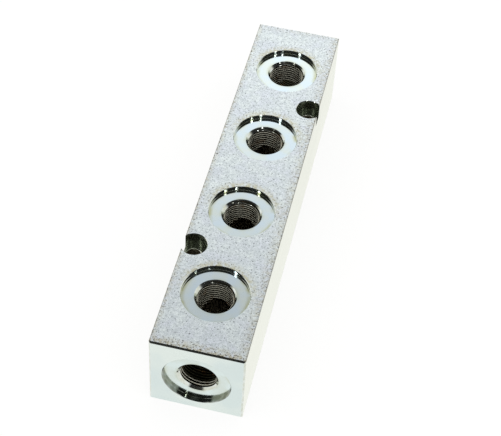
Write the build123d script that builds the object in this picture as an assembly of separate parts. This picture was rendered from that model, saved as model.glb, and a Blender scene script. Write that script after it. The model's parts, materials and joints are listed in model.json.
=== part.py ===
from build123d import *
import math
import os

# Hydraulic manifold block: one square steel bar, cross-drilled and tapped.
# The block stands on the XY plane with its ports upwards.  X is across the block,
# Y along it and Z up; the origin is the middle of the bottom face.

# Driving dimensions, in millimetres

# bar
block_width = 40.0            # X
block_height = 40.0           # Z
corner_radius = 0.3           # corner of the drawn bar, along its four long edges
end_chamfer = 0.7             # machined round both end faces

# row of ports in the top face
port_count = 4
port_pitch = 46.65
end_margin = 30.5             # end face to the axis of the first port

# one port, G 3/8: the same at the top face and at both ends
thread_major_diameter = 16.66
tap_drill_diameter = 15.25    # the tapped wall, to which the solid is cut
entry_widening = 0.57         # rim of the 90 degree entry chamfer, outside the thread's major radius
spotface_diameter = 28.9      # seat of the sealing washer
spotface_depth = 2.0

# gallery, drilled from end to end
gallery_diameter = 14.75
gallery_height = 19.5         # bottom face to its axis
end_bore_depth = 18.0         # end face to the foot of the end port's tapped wall
drill_point_angle = 118.0

# two holes for M6 cap screws, on a diagonal
screw_clearance_diameter = 6.6
counterbore_diameter = 11.5
counterbore_depth = 7.0
screw_edge_distance = 4.6     # side face to the hole's axis, so the counterbore runs out of the side
rim_break = 0.25              # fine break on the rims of the spotfaces and counterbores

cutter_overlap = 1.0          # how far each cutter stands past the face it enters or leaves

# Sizes that follow from these
block_length = (port_count - 1) * port_pitch + 2 * end_margin
port_places = [(i - (port_count - 1) / 2) * port_pitch for i in range(port_count)]
top_bore_depth = block_height - gallery_height
tap_radius = tap_drill_diameter / 2
entry_radius = thread_major_diameter / 2 + entry_widening
spotface_radius = spotface_diameter / 2
entry_depth = entry_radius - tap_radius
screw_offset = block_width / 2 - screw_edge_distance
# the screws stand halfway between the two outermost ports at each end
screw_place = port_places[-1] - port_pitch / 2


def make_bar():
    """Drawn square bar, cut to length and chamfered round both ends."""
    section = Plane.XZ * Pos(0, block_height / 2) * RectangleRounded(block_width, block_height, corner_radius)
    bar = extrude(section, amount=block_length / 2, both=True)
    blank = Box(block_width, block_length, block_height, align=(Align.CENTER, Align.CENTER, Align.MIN))
    end_edges = blank.edges() - blank.edges().filter_by(Axis.Y)
    return bar & chamfer(end_edges, end_chamfer)


def make_port_cutter(bore_depth):
    """A port's cavity, spun about Z, with its mouth at z = 0 and its bore downwards."""
    chamfer_top = -spotface_depth
    chamfer_foot = chamfer_top - entry_depth
    point_depth = tap_radius / math.tan(math.radians(drill_point_angle / 2))
    outline = Polyline(
        (0, cutter_overlap),
        (spotface_radius + rim_break + cutter_overlap, cutter_overlap),
        (spotface_radius, -rim_break),
        (spotface_radius, chamfer_top),
        (entry_radius, chamfer_top),
        (tap_radius, chamfer_foot),
        (tap_radius, -bore_depth),
        (0, -bore_depth - point_depth),
        (0, cutter_overlap),
    )
    return revolve(Plane.XZ * make_face(outline), axis=Axis.Z)


def make_screw_cutter():
    """A counterbored screw hole through the block, with its mouth at z = 0."""
    head_radius = counterbore_diameter / 2
    shank_radius = screw_clearance_diameter / 2
    outline = Polyline(
        (0, cutter_overlap),
        (head_radius + rim_break + cutter_overlap, cutter_overlap),
        (head_radius, -rim_break),
        (head_radius, -counterbore_depth),
        (shank_radius, -counterbore_depth),
        (shank_radius, -block_height + rim_break),
        (shank_radius + rim_break + cutter_overlap, -block_height - cutter_overlap),
        (0, -block_height - cutter_overlap),
        (0, cutter_overlap),
    )
    return revolve(Plane.XZ * make_face(outline), axis=Axis.Z)


def make_manifold_block():
    block = make_bar()
    # the gallery opens at both ends in the same port as the top face has
    block -= Pos(0, 0, gallery_height) * Rot(90, 0, 0) * Cylinder(gallery_diameter / 2, block_length)
    end_port = make_port_cutter(end_bore_depth)
    block -= Pos(0, -block_length / 2, gallery_height) * Rot(90, 0, 0) * end_port
    block -= Pos(0, block_length / 2, gallery_height) * Rot(-90, 0, 0) * end_port
    # each top port is drilled down to the gallery's axis
    top_port = make_port_cutter(top_bore_depth)
    for place in port_places:
        block -= Pos(0, place, block_height) * top_port
    for side in (-1, 1):
        block -= Pos(side * screw_offset, side * screw_place, block_height) * make_screw_cutter()
    return block


os.makedirs("parts", exist_ok=True)
manifold_block = make_manifold_block()
manifold_block.label = "manifold_block"
export_step(manifold_block, "parts/manifold_block.step")
print("manifold_block: length %.2f mm, volume %.0f mm3" % (block_length, manifold_block.volume))
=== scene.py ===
import json
import math
import bpy
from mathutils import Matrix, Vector


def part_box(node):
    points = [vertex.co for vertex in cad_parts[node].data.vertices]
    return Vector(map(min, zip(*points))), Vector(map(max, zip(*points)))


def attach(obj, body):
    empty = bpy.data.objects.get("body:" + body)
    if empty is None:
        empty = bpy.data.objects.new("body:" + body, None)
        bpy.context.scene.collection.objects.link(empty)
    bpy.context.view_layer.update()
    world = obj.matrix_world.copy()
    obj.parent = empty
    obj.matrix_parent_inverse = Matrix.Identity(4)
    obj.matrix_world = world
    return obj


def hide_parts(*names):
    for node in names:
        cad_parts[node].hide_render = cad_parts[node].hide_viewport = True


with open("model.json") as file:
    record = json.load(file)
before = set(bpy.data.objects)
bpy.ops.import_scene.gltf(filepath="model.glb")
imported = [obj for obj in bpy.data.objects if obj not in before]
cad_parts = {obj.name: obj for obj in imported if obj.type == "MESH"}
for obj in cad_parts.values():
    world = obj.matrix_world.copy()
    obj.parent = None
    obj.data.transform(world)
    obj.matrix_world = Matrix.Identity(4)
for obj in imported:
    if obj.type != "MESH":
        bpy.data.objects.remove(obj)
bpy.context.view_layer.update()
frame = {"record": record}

# The block, its ports and its screw holes are taken from the frame; lengths are in metres.
mm = 0.001
low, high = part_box("manifold_block")
mounts = {m["name"]: m for m in frame["record"]["mounts"]}
topPorts = [m for name, m in sorted(mounts.items()) if name.startswith("port_")]
endPort = mounts["end_port_front"]  # the one at the back is the same
screwHoles = [mounts["screw_hole_left"], mounts["screw_hole_right"]]
galleryHeight = endPort["pos_m"][2]
noiseLow, noiseHigh = 0.3, 0.7      # nearly all of a noise lies between these


def deselectAll():
    if bpy.context.object and bpy.context.object.mode != "OBJECT":
        bpy.ops.object.mode_set(mode="OBJECT")
    bpy.ops.object.select_all(action="DESELECT")


def activate(piece):
    deselectAll()
    piece.select_set(True)
    bpy.context.view_layer.objects.active = piece


def applyPlace(piece):
    activate(piece)
    bpy.ops.object.transform_apply(location=True, rotation=True, scale=True)


def selectIn(piece, kind, test):
    # selects the vertices, edges or faces that pass the test, and leaves the piece in edit mode
    activate(piece)
    bpy.ops.object.mode_set(mode="EDIT")
    bpy.ops.mesh.select_mode(type=kind)
    bpy.ops.mesh.select_all(action="DESELECT")
    bpy.ops.object.mode_set(mode="OBJECT")
    parts = {"VERT": piece.data.vertices, "EDGE": piece.data.edges, "FACE": piece.data.polygons}[kind]
    for part in parts:
        part.select = test(part)
    bpy.ops.object.mode_set(mode="EDIT")


def giveFinishes(piece, name):
    # every piece and cutter has all the finishes, so a cut leaves its own finish on the block
    for finish in finishes.values():
        piece.data.materials.append(finish)
    for face in piece.data.polygons:
        face.material_index = slots.index(name)


def linear(hexColour):
    # sRGB hex to linear RGBA
    channels = [int(hexColour[i:i + 2], 16) / 255 for i in (1, 3, 5)]
    return tuple(c / 12.92 if c <= 0.04045 else ((c + 0.055) / 1.055) ** 2.4 for c in channels) + (1.0,)


def addNode(tree, kind, settings, links=None):
    # settings name the node's properties or inputs; links take an input from a node or (node, output)
    node = tree.nodes.new("ShaderNode" + kind)
    for key, value in settings.items():
        if isinstance(key, str) and hasattr(node, key):
            setattr(node, key, value)
        else:
            node.inputs[key].default_value = value
    for key, source in (links or {}).items():
        giver, output = source if isinstance(source, tuple) else (source, 0)
        tree.links.new(giver.outputs[output], node.inputs[key])
    return node


def newFinish(name):
    finish = bpy.data.materials.new(name)
    finish.use_nodes = True
    finish.node_tree.nodes.clear()
    return finish, finish.node_tree


def findPlace(tree):
    # the place on the block in mm
    coordinates = addNode(tree, "TexCoord", {})
    return addNode(tree, "Mapping", {"Scale": (1 / mm, 1 / mm, 1 / mm)}, {"Vector": (coordinates, "Object")})


def findPort(tree, place):
    # gives the place's X, Y and Z, how far it is along the row from the nearest port, and its distance from
    # that port's axis
    first, second = [m["pos_m"][1] / mm for m in topPorts[:2]]
    halfPitch = (second - first) / 2
    endFrom = (high.y - portSize["endReach"]) / mm
    split = addNode(tree, "SeparateXYZ", {}, {0: place})
    wrapped = addNode(tree, "Math", {"operation": "WRAP", 1: first + halfPitch, 2: first - halfPitch},
                      {0: (split, "Y")})
    along = addNode(tree, "Math", {"operation": "SUBTRACT", 1: first}, {0: wrapped})
    up = addNode(tree, "Math", {"operation": "SUBTRACT", 1: galleryHeight / mm}, {0: (split, "Z")})
    fromMiddle = addNode(tree, "Math", {"operation": "ABSOLUTE"}, {0: (split, "Y")})
    atEnd = addNode(tree, "Math", {"operation": "GREATER_THAN", 1: endFrom}, {0: fromMiddle})
    alongOrUp = addNode(tree, "Mix", {"data_type": "FLOAT"}, {0: atEnd, 2: along, 3: up})
    across = addNode(tree, "CombineXYZ", {}, {"X": (split, "X"), "Y": alongOrUp})
    radius = addNode(tree, "VectorMath", {"operation": "LENGTH"}, {0: across})
    return split, along, (radius, "Value")


# The whole block is mild steel with a bright zinc plate; its finishes differ in how the steel was cut.
# Grains, reaches and bump heights are in mm. From and To are the ends of the stretch of a noise over which
# a layer comes in.
drawnSteel = {
    "plate": "#f1fafa", "lilac": "#e9f0f8", "mottle": "#d2dbde", "stain": "#c3b994", "halo": "#cac5a0",
    "pit": "#46464a", "paintedEdgeReflection": "#6f6a5c",
    "cloudGrain": 8.0, "cloudFrom": 0.42, "cloudTo": 0.6,       # the plate's film, blue-green to lilac
    "mottleGrain": 1.1, "mottleFrom": 0.38, "mottleTo": 0.62,
    # how far the tan stains run in from each edge of the face, and how strong they are at the edge
    "stainAtFront": (5.0, 1.0), "stainAtBack": (5.0, 0.3),
    "stainAtRight": (5.0, 0.5), "stainAtLeft": (2.5, 0.6),
    "stainGrain": 1.6, "stainFrom": 0.38, "stainTo": 0.58,
    "haloReach": 4.5,          # how far the plating bath's drag-out stains reach round a spotface
    "haloStart": -3.0, "haloFull": 9.0,     # from the port's axis, along the row
    "haloFrom": 0.36, "haloTo": 0.58, "haloStrength": 0.8,
    "pitGrain": 0.8,           # the mill skin's pits, drawn twice as coarse as they are so that they show
    # the noise level above which the skin is pitted, and how much lower it lies at an edge
    "pitLevel": 0.57, "pitCrowding": 0.08, "pitFade": 0.09, "pitStrength": 0.8,
    "paintedEdgeReflectionWidth": 0.45, "paintedEdgeReflectionStrength": 0.55,   # painted reflection: a dark line along the long edges
    "bump": 0.25, "bumpHeight": 0.05,
    "smoothest": 0.23, "roughest": 0.38,
    "metallic": 0.88,          # the pitted skin scatters a little of the light
}


def makeDrawnSteel():
    # drawn bar with the skin of the mill under the plate: a satin, blue-grey face full of fine dark pits,
    # with tan stains at its edges and beyond each spotface
    s = drawnSteel
    finish, tree = newFinish("zincPlatedDrawnSteel")
    place = findPlace(tree)
    split, along, radius = findPort(tree, place)
    cloud = addNode(tree, "TexNoise", {"Scale": 1 / s["cloudGrain"], "Detail": 2.0}, {"Vector": place})
    film = addNode(tree, "MapRange", {"From Min": s["cloudFrom"], "From Max": s["cloudTo"]}, {"Value": cloud})
    clean = addNode(tree, "Mix", {"data_type": "RGBA", 6: linear(s["plate"]), 7: linear(s["lilac"])},
                    {0: film})
    skin = addNode(tree, "TexNoise", {"Scale": 1 / s["mottleGrain"], "Detail": 4.0, "Roughness": 0.7},
                   {"Vector": place})
    mottle = addNode(tree, "MapRange", {"From Min": s["mottleFrom"], "From Max": s["mottleTo"]},
                     {"Value": skin})
    plate = addNode(tree, "Mix", {"data_type": "RGBA", 7: linear(s["mottle"])}, {0: mottle, 6: (clean, 2)})

    # how near the face's edges are
    edge = None
    for stain, axis, outer, inwards in (("stainAtRight", "X", high.x, -1), ("stainAtLeft", "X", low.x, 1),
                                        ("stainAtFront", "Y", low.y, 1), ("stainAtBack", "Y", high.y, -1)):
        reach, strength = s[stain]
        near = addNode(tree, "MapRange", {"From Min": outer / mm + inwards * reach, "From Max": outer / mm,
                                          "To Max": strength}, {"Value": (split, axis)})
        edge = addNode(tree, "Math", {"operation": "MAXIMUM"}, {0: edge, 1: near}) if edge else near

    # tan stains, broken up by a blotchy noise
    blotch = addNode(tree, "TexNoise", {"Scale": 1 / s["stainGrain"], "Detail": 3.0, "Roughness": 0.6},
                     {"Vector": place})
    edgeBlotch = addNode(tree, "MapRange", {"From Min": s["stainFrom"], "From Max": s["stainTo"]},
                         {"Value": blotch})
    edgeStain = addNode(tree, "Math", {"operation": "MULTIPLY"}, {0: edgeBlotch, 1: edge})
    stained = addNode(tree, "Mix", {"data_type": "RGBA", 7: linear(s["stain"])},
                      {0: edgeStain, 6: (plate, 2)})
    seatRadius = portSize["seatRadius"] / mm
    nearSeat = addNode(tree, "MapRange", {"interpolation_type": "SMOOTHSTEP",
                                          "From Min": seatRadius + s["haloReach"], "From Max": seatRadius},
                       {"Value": radius})
    beyond = addNode(tree, "MapRange", {"From Min": s["haloStart"], "From Max": s["haloFull"]},
                     {"Value": along})
    halo = addNode(tree, "Math", {"operation": "MULTIPLY"}, {0: nearSeat, 1: beyond})
    topSide = addNode(tree, "Math", {"operation": "GREATER_THAN", 1: galleryHeight / mm}, {0: (split, "Z")})
    topHalo = addNode(tree, "Math", {"operation": "MULTIPLY"}, {0: halo, 1: topSide})
    haloBlotch = addNode(tree, "MapRange", {"From Min": s["haloFrom"], "From Max": s["haloTo"],
                                            "To Max": s["haloStrength"]}, {"Value": blotch})
    haloMask = addNode(tree, "Math", {"operation": "MULTIPLY"}, {0: topHalo, 1: haloBlotch})
    haloed = addNode(tree, "Mix", {"data_type": "RGBA", 7: linear(s["halo"])}, {0: haloMask, 6: (stained, 2)})

    # pits stand closer together at the edges
    grain = addNode(tree, "TexNoise", {"Scale": 1 / s["pitGrain"], "Detail": 3.0, "Roughness": 0.65},
                    {"Vector": place})
    crowd = addNode(tree, "Math", {"operation": "MULTIPLY_ADD", 1: -s["pitCrowding"], 2: s["pitLevel"]},
                    {0: edge})
    depth = addNode(tree, "Math", {"operation": "SUBTRACT"}, {0: grain, 1: crowd})
    pits = addNode(tree, "MapRange", {"From Max": s["pitFade"], "To Max": s["pitStrength"]}, {"Value": depth})
    pitted = addNode(tree, "Mix", {"data_type": "RGBA", 7: linear(s["pit"])}, {0: pits, 6: (haloed, 2)})
    # a painted dark reflection along the long edges of the top and the underside
    right = high.x / mm
    aside = addNode(tree, "Math", {"operation": "ABSOLUTE"}, {0: (split, "X")})
    paintedEdgeReflection = addNode(tree, "MapRange", {"From Min": right - s["paintedEdgeReflectionWidth"],
                                       "From Max": right - s["paintedEdgeReflectionWidth"] / 2,
                                       "To Max": s["paintedEdgeReflectionStrength"]}, {"Value": aside})
    withEdgeReflection = addNode(tree, "Mix", {"data_type": "RGBA", 7: linear(s["paintedEdgeReflection"])}, {0: paintedEdgeReflection, 6: (pitted, 2)})
    bump = addNode(tree, "Bump", {"Strength": s["bump"], "Distance": s["bumpHeight"] * mm, "invert": True},
                   {"Height": grain})
    rough = addNode(tree, "MapRange", {"From Min": noiseLow, "From Max": noiseHigh,
                                       "To Min": s["smoothest"], "To Max": s["roughest"]}, {"Value": grain})
    shader = addNode(tree, "BsdfPrincipled", {"Metallic": s["metallic"]},
                     {"Base Color": (withEdgeReflection, 2), "Roughness": rough, "Normal": bump})
    addNode(tree, "OutputMaterial", {}, {"Surface": shader})
    return finish


sideSteel = {
    "plate": "#f4f6e9", "film": "#ebefe0", "pit": "#a3a396",
    "lineWidth": 0.5, "lineLength": 25.0,   # the die's drawing lines, drawn twice as coarse as they are
    "lineFrom": 0.35, "lineTo": 0.65,
    "pitGrain": 1.0, "pitFrom": 0.62, "pitTo": 0.78, "pitStrength": 0.6,
    "bump": 0.15, "bumpHeight": 0.02,
    "roughness": 0.3,
}


def makeSideSteel():
    # the bar's sides, burnished by the drawing die: smoother and creamier than the top, with faint long lines
    s = sideSteel
    finish, tree = newFinish("zincPlatedDieDrawnSteel")
    place = findPlace(tree)
    across = 1 / s["lineWidth"]
    stretch = addNode(tree, "Mapping", {"Scale": (across, 1 / s["lineLength"], across)}, {"Vector": place})
    lines = addNode(tree, "TexNoise", {"Scale": 1.0, "Detail": 2.0}, {"Vector": stretch})
    cover = addNode(tree, "MapRange", {"From Min": s["lineFrom"], "From Max": s["lineTo"]}, {"Value": lines})
    plate = addNode(tree, "Mix", {"data_type": "RGBA", 6: linear(s["plate"]), 7: linear(s["film"])},
                    {0: cover})
    grain = addNode(tree, "TexNoise", {"Scale": 1 / s["pitGrain"], "Detail": 3.0, "Roughness": 0.6},
                    {"Vector": place})
    pits = addNode(tree, "MapRange", {"From Min": s["pitFrom"], "From Max": s["pitTo"],
                                      "To Max": s["pitStrength"]}, {"Value": grain})
    pitted = addNode(tree, "Mix", {"data_type": "RGBA", 7: linear(s["pit"])}, {0: pits, 6: (plate, 2)})
    bump = addNode(tree, "Bump", {"Strength": s["bump"], "Distance": s["bumpHeight"] * mm},
                   {"Height": lines})
    shader = addNode(tree, "BsdfPrincipled", {"Metallic": 1.0, "Roughness": s["roughness"]},
                     {"Base Color": (pitted, 2), "Normal": bump})
    addNode(tree, "OutputMaterial", {}, {"Surface": shader})
    return finish


milledSteel = {
    "plate": "#e2ebe5", "film": "#d8e4e1",
    "filmGrain": 18.0, "filmFrom": 0.4, "filmTo": 0.6,
    "markSpacing": 0.9,        # the face mill's sweeps, drawn three times as coarse as they are
    "markBow": 60.0,           # how far to the side the sweeps' centre lies
    "bump": 0.012, "bumpHeight": 0.02,
    "smoothest": 0.22, "roughest": 0.27,
}


def makeMilledSteel():
    # the faced ends: smooth pale grey-green, with the faint wide arcs that a face mill leaves
    s = milledSteel
    finish, tree = newFinish("zincPlatedMilledSteel")
    place = findPlace(tree)
    centred = addNode(tree, "Mapping", {"Location": (s["markBow"], 0.0, 0.0)}, {"Vector": place})
    flat = addNode(tree, "VectorMath", {"operation": "MULTIPLY", 1: (1.0, 0.0, 1.0)}, {0: centred})
    sweep = addNode(tree, "VectorMath", {"operation": "LENGTH"}, {0: flat})
    marks = addNode(tree, "TexNoise", {"noise_dimensions": "1D", "Scale": 1 / s["markSpacing"],
                                       "Detail": 2.0}, {"W": (sweep, "Value")})
    cloud = addNode(tree, "TexNoise", {"Scale": 1 / s["filmGrain"], "Detail": 2.0}, {"Vector": place})
    film = addNode(tree, "MapRange", {"From Min": s["filmFrom"], "From Max": s["filmTo"]}, {"Value": cloud})
    plate = addNode(tree, "Mix", {"data_type": "RGBA", 6: linear(s["plate"]), 7: linear(s["film"])},
                    {0: film})
    bump = addNode(tree, "Bump", {"Strength": s["bump"], "Distance": s["bumpHeight"] * mm},
                   {"Height": marks})
    rough = addNode(tree, "MapRange", {"From Min": noiseLow, "From Max": noiseHigh,
                                       "To Min": s["smoothest"], "To Max": s["roughest"]}, {"Value": marks})
    shader = addNode(tree, "BsdfPrincipled", {"Metallic": 1.0},
                     {"Base Color": (plate, 2), "Roughness": rough, "Normal": bump})
    addNode(tree, "OutputMaterial", {}, {"Surface": shader})
    return finish


seatSteel = {
    "plate": "#dbebf4", "cream": "#e0ebe8", "olive": "#c3c7a6",
    "ringSpacing": 0.6,        # the spotface cutter's rings, drawn three times as coarse as they are
    "stainGrain": 7.0, "stainFrom": 0.38, "stainTo": 0.62,
    "wallBand": (2.0, 0.6),    # in from the wall, where the olive band there starts and is full
    "chamferBand": 1.3, "chamferStrength": 0.55,    # out from the entry chamfer
    "bump": 0.03, "bumpHeight": 0.01,
    "smoothest": 0.04, "roughest": 0.1,
}
endSeatSteel = {
    **seatSteel,
    "plate": "#d9e6e3", "cream": "#d3ddd6", "olive": "#c4cbb6",
    "smoothest": 0.1, "roughest": 0.16,
}


def makeSeatSteel(name, s):
    # the spotfaces, cut flat by a piloted cutter: nearly a mirror, with fine rings about each port and
    # olive bands where the plating solution stood in the corner and at the chamfer; the end ports' are
    # duller, like the end faces
    finish, tree = newFinish(name)
    place = findPlace(tree)
    radius = findPort(tree, place)[2]
    rings = addNode(tree, "TexNoise", {"noise_dimensions": "1D", "Scale": 1 / s["ringSpacing"],
                                       "Detail": 2.0}, {"W": radius})
    seatRadius = portSize["seatRadius"] / mm
    entryRadius = portSize["entryRadius"] / mm
    outer = addNode(tree, "MapRange", {"From Min": seatRadius - s["wallBand"][0],
                                       "From Max": seatRadius - s["wallBand"][1]}, {"Value": radius})
    inner = addNode(tree, "MapRange", {"From Min": entryRadius + s["chamferBand"], "From Max": entryRadius,
                                       "To Max": s["chamferStrength"]}, {"Value": radius})
    corner = addNode(tree, "Math", {"operation": "MAXIMUM"}, {0: outer, 1: inner})
    cloud = addNode(tree, "TexNoise", {"Scale": 1 / s["stainGrain"], "Detail": 2.0}, {"Vector": place})
    patch = addNode(tree, "MapRange", {"From Min": s["stainFrom"], "From Max": s["stainTo"]},
                    {"Value": cloud})
    stain = addNode(tree, "Math", {"operation": "MULTIPLY"}, {0: corner, 1: patch})
    plate = addNode(tree, "Mix", {"data_type": "RGBA", 6: linear(s["plate"]), 7: linear(s["cream"])},
                    {0: patch})
    colour = addNode(tree, "Mix", {"data_type": "RGBA", 7: linear(s["olive"])}, {0: stain, 6: (plate, 2)})
    bump = addNode(tree, "Bump", {"Strength": s["bump"], "Distance": s["bumpHeight"] * mm},
                   {"Height": rings})
    rough = addNode(tree, "MapRange", {"From Min": noiseLow, "From Max": noiseHigh,
                                       "To Min": s["smoothest"], "To Max": s["roughest"]}, {"Value": rings})
    shader = addNode(tree, "BsdfPrincipled", {"Metallic": 1.0},
                     {"Base Color": (colour, 2), "Roughness": rough, "Normal": bump})
    addNode(tree, "OutputMaterial", {}, {"Surface": shader})
    return finish


wallSteel = {
    "plate": "#dfe4df", "film": "#cfd3c4",
    "filmGrain": 2.5, "filmFrom": 0.4, "filmTo": 0.6,
    "smoothest": 0.07, "roughest": 0.16,
}
endWallSteelPaintedShade = {
    **wallSteel,
    # a darker grey than the other walls: painted shade
    "plate": "#a9ada7", "film": "#868a80",
    "smoothest": 0.05, "roughest": 0.14,
}
counterboreSteelPaintedShade = {
    **wallSteel,
    # darker than the other walls, as painted shade, and greener
    "plate": "#bcc2b2", "film": "#8f9883",
    "filmGrain": 1.5,
    "smoothest": 0.21, "roughest": 0.3,
}


def makeWallSteel(name, s):
    # the turned walls and chamfers: a bright burnished cut, a little olive, that mirrors the room as dark
    # and light bars; the end ports' walls and the counterbores are cut the same way, but their colour is
    # darkened with painted shade, and the counterbores' is greener too
    finish, tree = newFinish(name)
    place = findPlace(tree)
    cloud = addNode(tree, "TexNoise", {"Scale": 1 / s["filmGrain"], "Detail": 3.0}, {"Vector": place})
    film = addNode(tree, "MapRange", {"From Min": s["filmFrom"], "From Max": s["filmTo"]}, {"Value": cloud})
    colour = addNode(tree, "Mix", {"data_type": "RGBA", 6: linear(s["plate"]), 7: linear(s["film"])},
                     {0: film})
    rough = addNode(tree, "MapRange", {"From Min": noiseLow, "From Max": noiseHigh,
                                       "To Min": s["smoothest"], "To Max": s["roughest"]}, {"Value": cloud})
    shader = addNode(tree, "BsdfPrincipled", {"Metallic": 1.0},
                     {"Base Color": (colour, 2), "Roughness": rough})
    addNode(tree, "OutputMaterial", {}, {"Surface": shader})
    return finish


threadSteel = {
    # the groove's dark colour is painted shade for the deep flanks
    "crest": "#ebe9d6", "groove": "#3b3a2c", "rust": "#86623a",
    "crestDepth": 0.02,        # how far out from the tapped wall the crest's colour stays
    "grooveShadeShare": 0.2,        # share of the thread's depth at which the groove's painted shade is full
    "rustGrain": 4.0, "rustFrom": 0.55, "rustTo": 0.7, "rustStrength": 0.5,
    "crestRoughness": 0.12, "grooveRoughness": 0.3,
    "crestMetallic": 0.5,      # the tap tears the crests, so they scatter some of the light
}


def makeThreadSteel():
    # the tapped threads: bright torn crests over flanks darkened with painted shade, which sets the crests
    # off as bright lines, with a little rust
    s = threadSteel
    finish, tree = newFinish("zincPlatedThread")
    place = findPlace(tree)
    radius = findPort(tree, place)[2]
    tap = portSize["tapRadius"] / mm
    major = threadSize["majorRadius"] / mm
    # how far into the groove, where the painted shade comes in
    depth = addNode(tree, "MapRange", {"From Min": tap + s["crestDepth"],
                                       "From Max": tap + s["grooveShadeShare"] * (major - tap)}, {"Value": radius})
    steel = addNode(tree, "Mix", {"data_type": "RGBA", 6: linear(s["crest"]), 7: linear(s["groove"])},
                    {0: depth})
    cloud = addNode(tree, "TexNoise", {"Scale": 1 / s["rustGrain"], "Detail": 3.0}, {"Vector": place})
    patch = addNode(tree, "MapRange", {"From Min": s["rustFrom"], "From Max": s["rustTo"],
                                       "To Max": s["rustStrength"]}, {"Value": cloud})
    colour = addNode(tree, "Mix", {"data_type": "RGBA", 7: linear(s["rust"])}, {0: patch, 6: (steel, 2)})
    rough = addNode(tree, "MapRange", {"To Min": s["crestRoughness"], "To Max": s["grooveRoughness"]},
                    {"Value": depth})
    metal = addNode(tree, "MapRange", {"To Min": s["crestMetallic"], "To Max": 1.0}, {"Value": depth})
    shader = addNode(tree, "BsdfPrincipled", {},
                     {"Base Color": (colour, 2), "Roughness": rough, "Metallic": metal})
    addNode(tree, "OutputMaterial", {}, {"Surface": shader})
    return finish


boreSteel = {
    "steel": "#99917b", "dark": "#655f4f",
    "markGrain": 1.2, "markFrom": 0.35, "markTo": 0.65,
    "bump": 0.3, "bumpHeight": 0.05,
    "roughness": 0.35, "metallic": 0.6,
}


def makeBoreSteel():
    # the drilled bores, which the plating hardly reaches: dull brown-grey steel with a drill's marks
    s = boreSteel
    finish, tree = newFinish("drilledSteelBore")
    place = findPlace(tree)
    marks = addNode(tree, "TexNoise", {"Scale": 1 / s["markGrain"], "Detail": 3.0}, {"Vector": place})
    mask = addNode(tree, "MapRange", {"From Min": s["markFrom"], "From Max": s["markTo"]}, {"Value": marks})
    colour = addNode(tree, "Mix", {"data_type": "RGBA", 6: linear(s["steel"]), 7: linear(s["dark"])},
                     {0: mask})
    bump = addNode(tree, "Bump", {"Strength": s["bump"], "Distance": s["bumpHeight"] * mm},
                   {"Height": marks})
    shader = addNode(tree, "BsdfPrincipled", {"Metallic": s["metallic"], "Roughness": s["roughness"]},
                     {"Base Color": (colour, 2), "Normal": bump})
    addNode(tree, "OutputMaterial", {}, {"Surface": shader})
    return finish


barSize = {
    "cornerRadius": 0.3 * mm,  # along the four long edges
    "cornerSteps": 3,
    "endChamfer": 0.7 * mm,    # round both ends
    "smoothAngle": 28.0,       # degrees, the sharpest edge that is still shaded as round
}


def makeBar():
    s = barSize
    deselectAll()
    bpy.ops.mesh.primitive_cube_add(size=1, location=(low + high) / 2, scale=high - low)
    bar = bpy.context.object
    bar.name = "manifoldBlock"
    applyPlace(bar)
    points = [v.co.copy() for v in bar.data.vertices]
    selectIn(bar, "EDGE", lambda e: abs(points[e.vertices[0]].y - points[e.vertices[1]].y) > s["endChamfer"])
    bpy.ops.mesh.bevel(offset=s["cornerRadius"], segments=s["cornerSteps"], affect="EDGES")
    # a slanting cut takes each of the eight end edges off
    middle = (low + high) / 2
    half = (high - low) / 2
    for end in (-1, 1):
        for side in (Vector((1, 0, 0)), Vector((-1, 0, 0)), Vector((0, 0, 1)), Vector((0, 0, -1))):
            normal = side + Vector((0, end, 0))
            corner = middle + Vector([n * h for n, h in zip(normal, half)])
            bpy.ops.mesh.select_all(action="SELECT")
            bpy.ops.mesh.bisect(plane_co=corner - side * s["endChamfer"], plane_no=normal, use_fill=True,
                                clear_outer=True)
    bpy.ops.object.mode_set(mode="OBJECT")
    giveFinishes(bar, "side")
    squareOn = 0.99            # parts of a face's normal
    aslant = 0.1
    for face in bar.data.polygons:
        if abs(face.normal.y) > squareOn:
            face.material_index = slots.index("end")
        elif abs(face.normal.y) > aslant:
            # the end chamfers are turned like the ports' walls
            face.material_index = slots.index("wall")
        elif abs(face.normal.z) > aslant:
            # the top, the underside and the rounded long edges
            face.material_index = slots.index("top")
    print("bar made,", len(bar.data.polygons), "faces")
    return bar


portSize = {
    "tapRadius": mounts["port_1"]["dims"]["r_mm"] * mm,
    "entryRadius": 8.9 * mm,   # rim of the 90 degree entry chamfer
    "seatRadius": 14.45 * mm,
    "seatDepth": 2.0 * mm,
    "rimBreak": 0.25 * mm,
    "cornerRadius": 0.15 * mm,  # left by the spotface cutter's corner between its wall and its seat
    "cornerSteps": 3,
    "pointAngle": 118.0,
    "tipRadius": 0.02 * mm,    # the cutter's point is cut off here, because a ring can't shrink to nothing
    "galleryRadius": 7.375 * mm,
    "galleryInset": 4.0 * mm,  # from an end face, where the gallery's cutter stops inside the end port
    "galleryTurn": 1.7,        # degrees, so that no side of the gallery meets a corner of a port
    "endReach": 6.0 * mm,      # from an end face, within which a finish's pattern centres on the end port
    "sides": 96,
    "overlap": 1.0 * mm,       # how far a cutter stands past the face it enters
}
threadSize = {
    "majorRadius": 8.33 * mm,
    "pitch": 1.337 * mm,
    "flankAngle": 55.0,
    "rootWidth": 0.28 * mm,
    "inset": 0.25 * mm,        # how far the groove's cutter reaches inside the tapped wall
    "lead": 1.5 * mm,          # from the foot of the tapped wall up to the first groove
    "runOut": 1.4 * mm,        # how far the groove's cutter rises past the seat, out through the chamfer
    "turn": 1.1,               # degrees, so that no corner of the groove meets a corner of a port
    "steps": 72,
}


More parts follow.
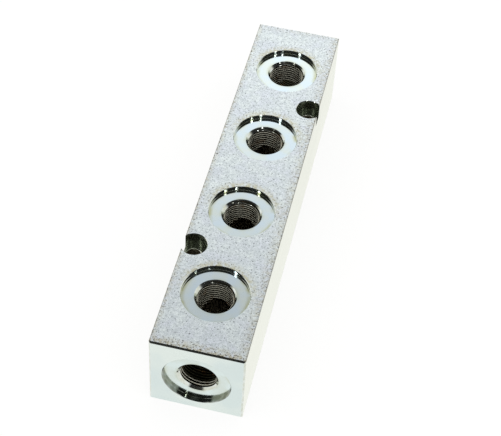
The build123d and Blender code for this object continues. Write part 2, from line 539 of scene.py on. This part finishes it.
def latheCutter(name, rings, sides):
    # rings are (radius, height, finish of the band that leads to it), from the top down
    deselectAll()
    bpy.ops.mesh.primitive_circle_add(vertices=sides, radius=rings[0][0], fill_type="NGON",
                                      location=(0, 0, rings[0][1]))
    cutter = bpy.context.object
    cutter.name = name
    applyPlace(cutter)
    bpy.ops.object.mode_set(mode="EDIT")
    bpy.ops.mesh.select_all(action="SELECT")
    for above, ring in zip(rings, rings[1:]):
        bpy.ops.mesh.extrude_region_move(TRANSFORM_OT_translate={"value": (0, 0, ring[1] - above[1])})
        bpy.ops.transform.resize(value=(ring[0] / above[0], ring[0] / above[0], 1))
    bpy.ops.mesh.select_all(action="SELECT")
    bpy.ops.mesh.normals_make_consistent(inside=False)
    bpy.ops.object.mode_set(mode="OBJECT")
    giveFinishes(cutter, "wall")
    middles = [((a[0] + b[0]) / 2, (a[1] + b[1]) / 2) for a, b in zip(rings, rings[1:])]
    for face in cutter.data.polygons:
        # a face belongs to the band whose middle is nearest
        corners = [cutter.data.vertices[v].co for v in face.vertices]
        reach = sum(c.xy.length for c in corners) / len(corners)
        height = sum(c.z for c in corners) / len(corners)
        gaps = [math.hypot(m[0] - reach, m[1] - height) for m in middles]
        face.material_index = slots.index(rings[gaps.index(min(gaps)) + 1][2])
    return cutter


def makePortCutter(name, wallFoot, seat, wall):
    # a port's cavity with its mouth at z = 0 and its spotface in the finishes named by seat and wall
    s = portSize
    seatHeight = -s["seatDepth"]
    chamferFoot = seatHeight - (s["entryRadius"] - s["tapRadius"])
    corner = s["cornerRadius"]
    turns = [math.pi / 2 * i / s["cornerSteps"] for i in range(s["cornerSteps"] + 1)]
    cornerRings = [(s["seatRadius"] - corner * (1 - math.cos(a)),
                    seatHeight + corner * (1 - math.sin(a)), wall) for a in turns]
    pointHeight = wallFoot - (s["tapRadius"] - s["tipRadius"]) / math.tan(math.radians(s["pointAngle"] / 2))
    return latheCutter(name, [
        (s["seatRadius"] + s["rimBreak"] + s["overlap"], s["overlap"], None),
        (s["seatRadius"], -s["rimBreak"], wall),
        *cornerRings,
        (s["entryRadius"], seatHeight, seat),
        (s["tapRadius"], chamferFoot, "wall"),
        (s["tapRadius"], wallFoot, "thread"),
        (s["tipRadius"], pointHeight, "bore"),
    ], s["sides"])


def makeThreadCutter(foot):
    # the groove that the tap cuts: its profile, wound up a helix by a Screw modifier
    s = threadSize
    innerRadius = portSize["tapRadius"] - s["inset"]
    depth = s["majorRadius"] - innerRadius
    innerWidth = s["rootWidth"] + 2 * depth * math.tan(math.radians(s["flankAngle"] / 2))
    start = foot + s["lead"]
    deselectAll()
    bpy.ops.mesh.primitive_plane_add(size=1, location=(innerRadius + depth / 2, 0, start),
                                     rotation=(math.pi / 2, 0, 0))
    groove = bpy.context.object
    groove.name = "threadGroove"
    groove.scale = (depth, innerWidth, 1)
    applyPlace(groove)
    selectIn(groove, "VERT", lambda v: v.co.x > innerRadius + depth / 2)
    bpy.ops.transform.resize(value=(1, 1, s["rootWidth"] / innerWidth))
    bpy.ops.mesh.select_all(action="SELECT")
    bpy.ops.mesh.delete(type="ONLY_FACE")
    bpy.ops.object.mode_set(mode="OBJECT")
    screw = groove.modifiers.new("helix", "SCREW")
    screw.screw_offset = s["pitch"]
    screw.iterations = int((s["runOut"] - portSize["seatDepth"] - start) / s["pitch"])
    screw.steps = s["steps"]
    screw.render_steps = s["steps"]
    screw.use_merge_vertices = False
    activate(groove)
    bpy.ops.object.modifier_apply(modifier=screw.name)
    # a face closes each end of the groove
    bpy.ops.object.mode_set(mode="EDIT")
    bpy.ops.mesh.select_all(action="DESELECT")
    bpy.ops.mesh.select_non_manifold()
    bpy.ops.mesh.edge_face_add()
    bpy.ops.mesh.select_all(action="SELECT")
    bpy.ops.mesh.normals_make_consistent(inside=False)
    bpy.ops.object.mode_set(mode="OBJECT")
    groove.rotation_euler = (0, 0, math.radians(s["turn"]))
    applyPlace(groove)
    giveFinishes(groove, "thread")
    return groove


def joinShapes(piece, tool, operation):
    # the tool is used up
    boolean = piece.modifiers.new(operation.lower(), "BOOLEAN")
    boolean.operation = operation
    boolean.solver = "EXACT"
    boolean.material_mode = "INDEX"
    boolean.object = tool
    activate(piece)
    bpy.ops.object.modifier_apply(modifier=boolean.name)
    bpy.data.objects.remove(tool, do_unlink=True)


def placeCopy(cutter, angle, place):
    # a copy of the cutter, with its own mesh, turned about X and moved to its mouth
    copy = cutter.copy()
    copy.data = cutter.data.copy()
    bpy.context.collection.objects.link(copy)
    copy.rotation_euler = (angle, 0, 0)
    copy.location = place
    applyPlace(copy)
    return copy


def drillBlock(block):
    s = portSize
    deselectAll()
    bpy.ops.mesh.primitive_cylinder_add(vertices=s["sides"], radius=s["galleryRadius"],
                                        depth=high.y - low.y - 2 * s["galleryInset"],
                                        location=(0, 0, galleryHeight),
                                        rotation=(math.pi / 2, math.radians(s["galleryTurn"]), 0))
    gallery = bpy.context.object
    applyPlace(gallery)
    giveFinishes(gallery, "bore")
    joinShapes(block, gallery, "DIFFERENCE")
    print("gallery drilled")

    topFoot = galleryHeight - high.z
    endFoot = -(s["seatDepth"] + s["entryRadius"] - s["tapRadius"] + endPort["dims"]["length_mm"] * mm)
    topCutter = makePortCutter("topPort", topFoot, "seat", "wall")
    endCutter = makePortCutter("endPort", endFoot, "endSeat", "endWall")
    joinShapes(topCutter, makeThreadCutter(topFoot), "UNION")
    joinShapes(endCutter, makeThreadCutter(endFoot), "UNION")
    for port in topPorts:
        joinShapes(block, placeCopy(topCutter, 0, (0, port["pos_m"][1], high.z)), "DIFFERENCE")
    joinShapes(block, placeCopy(endCutter, math.pi / 2, (0, low.y, galleryHeight)), "DIFFERENCE")
    joinShapes(block, placeCopy(endCutter, -math.pi / 2, (0, high.y, galleryHeight)), "DIFFERENCE")
    for leftover in (topCutter, endCutter):
        bpy.data.objects.remove(leftover, do_unlink=True)
    print("ports cut and tapped")


screwHoleSize = {"headRadius": 5.75 * mm, "headDepth": 7.0 * mm, "sides": 64}


def cutScrewHoles(block):
    s = screwHoleSize
    shank = screwHoles[0]["dims"]["r_mm"] * mm
    rim = portSize["rimBreak"]
    overlap = portSize["overlap"]
    foot = low.z - high.z
    cutter = latheCutter("screwHole", [
        (s["headRadius"] + rim + overlap, overlap, None),
        (s["headRadius"], -rim, "wall"),
        (s["headRadius"], -s["headDepth"], "counterbore"),
        (shank + rim, -s["headDepth"], "counterbore"),
        (shank, -s["headDepth"] - rim, "side"),     # the rim of the shank's hole catches the light
        (shank, foot + rim, "bore"),
        (shank + rim + overlap, foot - overlap, "wall"),
    ], s["sides"])
    for hole in screwHoles:
        x, y = hole["pos_m"][:2]
        joinShapes(block, placeCopy(cutter, 0, (x, y, high.z)), "DIFFERENCE")
    bpy.data.objects.remove(cutter, do_unlink=True)
    print("screw holes cut")


finishes = {
    "top": makeDrawnSteel(),
    "side": makeSideSteel(),
    "end": makeMilledSteel(),
    "seat": makeSeatSteel("zincPlatedSpotface", seatSteel),
    "endSeat": makeSeatSteel("zincPlatedEndSpotface", endSeatSteel),
    "wall": makeWallSteel("zincPlatedTurnedWall", wallSteel),
    "endWall": makeWallSteel("zincPlatedEndWallPaintedShade", endWallSteelPaintedShade),
    "counterbore": makeWallSteel("zincPlatedCounterborePaintedShade", counterboreSteelPaintedShade),
    "thread": makeThreadSteel(),
    "bore": makeBoreSteel(),
}
slots = list(finishes)
print("finishes made")

block = makeBar()
drillBlock(block)
cutScrewHoles(block)
activate(block)
bpy.ops.object.shade_smooth_by_angle(angle=math.radians(barSize["smoothAngle"]))
# weighted normals keep the large faces flat beside the rounded edges
flatten = block.modifiers.new("flatten", "WEIGHTED_NORMAL")
flatten.keep_sharp = True
bpy.ops.object.modifier_apply(modifier=flatten.name)
selectIn(block, "VERT", lambda v: False)
bpy.ops.mesh.select_non_manifold()
bpy.ops.object.mode_set(mode="OBJECT")
openPoints = sum(1 for v in block.data.vertices if v.select)
print("block shaped,", len(block.data.polygons), "faces,", openPoints, "points at open edges")
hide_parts("manifold_block")
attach(block, "root")


floorPaper = {"width": 6.0, "shade": "#7c7c7a", "glow": 0.85, "roughness": 0.9}


def makeFloor():
    # white paper: the camera and polished metal see it glow, less where the block shades it
    s = floorPaper
    deselectAll()
    bpy.ops.mesh.primitive_plane_add(size=s["width"], location=(0, 0, low.z))
    floor = bpy.context.object
    floor.name = "floor"
    finish, tree = newFinish("whitePaperFloor")
    paper = addNode(tree, "BsdfDiffuse", {"Color": linear(s["shade"]), "Roughness": s["roughness"]})
    glow = addNode(tree, "Emission", {"Strength": s["glow"]})
    seen = addNode(tree, "AddShader", {}, {0: paper, 1: glow})
    white = addNode(tree, "Emission", {"Strength": 1.0})
    path = addNode(tree, "LightPath", {})
    toCamera = addNode(tree, "MixShader", {}, {0: (path, "Is Camera Ray"), 1: paper, 2: seen})
    toMetal = addNode(tree, "MixShader", {}, {0: (path, "Is Glossy Ray"), 1: toCamera, 2: white})
    addNode(tree, "OutputMaterial", {}, {"Surface": toMetal})
    floor.data.materials.append(finish)


studio = {
    # degrees above the horizon, unless noted
    "frontTurn": 10.0,                  # degrees round from the front at which the dark side is centred
    "darkSides": (112.0, 150.0),        # degrees from its middle over which it gives way to the backdrop
    "darkFoot": (21.0, 26.0),           # where the dark side begins, above the white horizon
    "backdropTop": (41.5, 53.0),        # where the bright backdrop gives way to the upper wall
    "roofFrom": (56.0, 74.0),
    "darkest": 0.02, "backdrop": 1.2, "upperWall": 0.59, "roof": 0.48,     # brightness
}


def makeWorld():
    # a white room, as diffuse surfaces see it; polished metal mirrors a bright backdrop behind the block,
    # a dim roof and a dark front
    s = studio
    world = bpy.data.worlds.new("studio")
    bpy.context.scene.world = world
    world.use_nodes = True
    tree = world.node_tree
    tree.nodes.clear()
    place = addNode(tree, "TexCoord", {})
    split = addNode(tree, "SeparateXYZ", {}, {0: (place, "Generated")})
    rise = addNode(tree, "Math", {"operation": "ARCSINE"}, {0: (split, "Z")})
    height = addNode(tree, "Math", {"operation": "DEGREES"}, {0: rise})
    forward = addNode(tree, "Math", {"operation": "MULTIPLY", 1: -1.0}, {0: (split, "Y")})
    turn = addNode(tree, "Math", {"operation": "ARCTAN2"}, {0: (split, "X"), 1: forward})
    degrees = addNode(tree, "Math", {"operation": "DEGREES"}, {0: turn})
    offset = addNode(tree, "Math", {"operation": "SUBTRACT", 1: s["frontTurn"]}, {0: degrees})
    wrapped = addNode(tree, "Math", {"operation": "WRAP", 1: 180.0, 2: -180.0}, {0: offset})
    aside = addNode(tree, "Math", {"operation": "ABSOLUTE"}, {0: wrapped})
    backdrop = addNode(tree, "MapRange", {"From Min": s["backdropTop"][0], "From Max": s["backdropTop"][1],
                                          "To Min": s["backdrop"], "To Max": s["upperWall"]},
                       {"Value": height})
    behind = addNode(tree, "MapRange", {"From Min": s["darkSides"][0], "From Max": s["darkSides"][1]},
                     {"Value": aside})
    walls = addNode(tree, "Mix", {"data_type": "FLOAT", 2: s["darkest"]}, {0: behind, 3: backdrop})
    aboveFoot = addNode(tree, "MapRange", {"From Min": s["darkFoot"][0], "From Max": s["darkFoot"][1]},
                        {"Value": height})
    room = addNode(tree, "Mix", {"data_type": "FLOAT", 2: 1.0}, {0: aboveFoot, 3: walls})
    aboveWalls = addNode(tree, "MapRange", {"From Min": s["roofFrom"][0], "From Max": s["roofFrom"][1]},
                         {"Value": height})
    roofed = addNode(tree, "Mix", {"data_type": "FLOAT", 3: s["roof"]}, {0: aboveWalls, 2: room})
    path = addNode(tree, "LightPath", {})
    level = addNode(tree, "Mix", {"data_type": "FLOAT", 2: 1.0}, {0: (path, "Is Glossy Ray"), 3: roofed})
    sky = addNode(tree, "Background", {"Color": (1, 1, 1, 1)}, {"Strength": level})
    addNode(tree, "OutputWorld", {}, {"Surface": sky})


lamps = [
    # round lamps, in mm, with the brightness of the disc
    {"place": (317, -107, 400), "radius": 17, "brightness": 8.0},
    {"place": (543, -823, 1050), "radius": 33, "brightness": 10.0},
    {"place": (-200, -202, 338), "radius": 17, "brightness": 7.0},
]


def makeLamps():
    for s in lamps:
        radius = s["radius"] * mm
        data = bpy.data.lights.new("lamp", "AREA")
        data.shape = "DISK"
        data.size = 2 * radius
        # an even disc gives off pi times its brightness times its area
        data.energy = s["brightness"] * math.pi * math.pi * radius ** 2
        lamp = bpy.data.objects.new("lamp", data)
        bpy.context.collection.objects.link(lamp)
        lamp.location = Vector(s["place"]) * mm
        lamp.rotation_euler = lamp.location.to_track_quat("Z", "Y").to_euler()
        lamp.visible_camera = False


view = {
    "place": (71.85, -394.18, 467.15), "turn": (41.163, -2.432, 13.149),   # mm and degrees
    "lens": 94.4, "clipStart": 10.0,
}


def makeCamera():
    s = view
    data = bpy.data.cameras.new("camera")
    camera = bpy.data.objects.new("camera", data)
    bpy.context.collection.objects.link(camera)
    data.lens = s["lens"]
    data.clip_start = s["clipStart"] * mm
    camera.location = Vector(s["place"]) * mm
    camera.rotation_euler = [math.radians(a) for a in s["turn"]]
    bpy.context.scene.camera = camera


makeFloor()
makeWorld()
makeLamps()
makeCamera()
bpy.context.scene.view_settings.view_transform = "Standard"
print("studio set")
